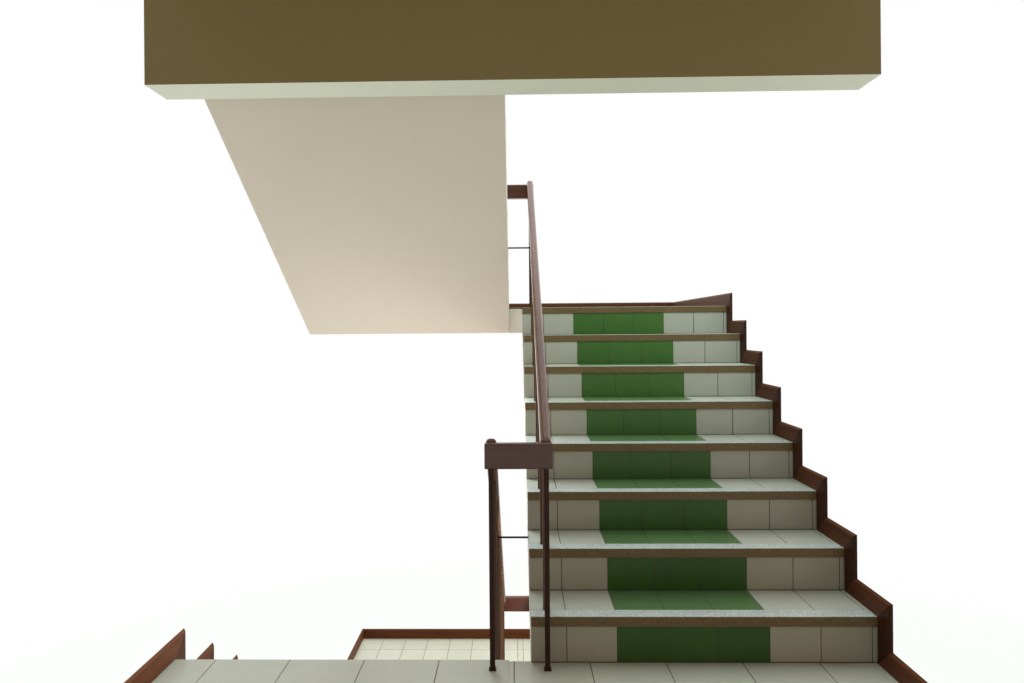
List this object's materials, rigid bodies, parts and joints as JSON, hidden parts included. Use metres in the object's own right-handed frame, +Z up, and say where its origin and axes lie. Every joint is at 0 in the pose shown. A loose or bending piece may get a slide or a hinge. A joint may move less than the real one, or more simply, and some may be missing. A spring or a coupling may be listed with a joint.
{
  "type": "dog-leg escape stair",
  "caption": "Dog-leg concrete escape stair: tiled treads with a green centre strip, terrazzo nosings, stepped timber skirting, narrow well with timber handrails on steel bars.",
  "frame": {"origin": "on the ground, in the middle of the foot that the lowest flight bears on", "axes": "+Z up; +Y the way the right-hand flights climb; +X to the right when facing +Y"},
  "size_m": [2.818, 4.626, 6.751],
  "materials": {
    "concrete_cream": "cream paint on plastered concrete, soft sheen, slightly marked",
    "beam_paint": "cream paint on a cast beam, dusty",
    "terrazzo": "ground terrazzo with dark and light chips, worn",
    "white_tile": "off-white glazed tile with dark joints",
    "green_tile": "deep green glazed tile with dark joints",
    "cream_tile": "cream glazed floor tile",
    "floor_tile": "light grey-beige glazed floor tile",
    "skirting_timber": "red-brown lacquer on timber boards",
    "handrail_timber": "dark mahogany gloss lacquer",
    "bar_paint": "dark brown gloss paint on square steel bars"
  },
  "bodies": {
    "root": {"flight_1_slab": "concrete_cream", "flight_2_slab": "concrete_cream", "flight_3_slab": "concrete_cream", "flight_4_slab": "concrete_cream", "half_landing_1_slab": "concrete_cream", "floor_landing_1_slab": "concrete_cream", "floor_landing_1_beam": "beam_paint", "half_landing_2_slab": "concrete_cream", "floor_landing_2_slab": "concrete_cream", "floor_landing_2_beam": "beam_paint", "flight_1_nosings": "terrazzo", "flight_1_white_tiles": "white_tile", "flight_1_green_tiles": "green_tile", "flight_1_skirting": "skirting_timber", "flight_1_handrail": "handrail_timber", "flight_1_balusters": "bar_paint", "flight_2_nosings": "terrazzo", "flight_2_white_tiles": "white_tile", "flight_2_green_tiles": "green_tile", "flight_2_skirting": "skirting_timber", "flight_2_handrail": "handrail_timber", "flight_2_balusters": "bar_paint", "flight_3_nosings": "terrazzo", "flight_3_white_tiles": "white_tile", "flight_3_green_tiles": "green_tile", "flight_3_skirting": "skirting_timber", "flight_3_handrail": "handrail_timber", "flight_3_balusters": "bar_paint", "flight_4_nosings": "terrazzo", "flight_4_white_tiles": "white_tile", "flight_4_green_tiles": "green_tile", "flight_4_skirting": "skirting_timber", "flight_4_handrail": "handrail_timber", "flight_4_balusters": "bar_paint", "half_landing_tiles": "cream_tile", "floor_landing_tiles": "floor_tile", "half_landing_skirting": "skirting_timber", "floor_landing_skirting": "skirting_timber", "cross_rails": "handrail_timber", "top_guard_rail": "handrail_timber", "newel_posts": "bar_paint", "stay_rods": "bar_paint", "top_guard_bars": "bar_paint"}
  },
  "joints": []
}
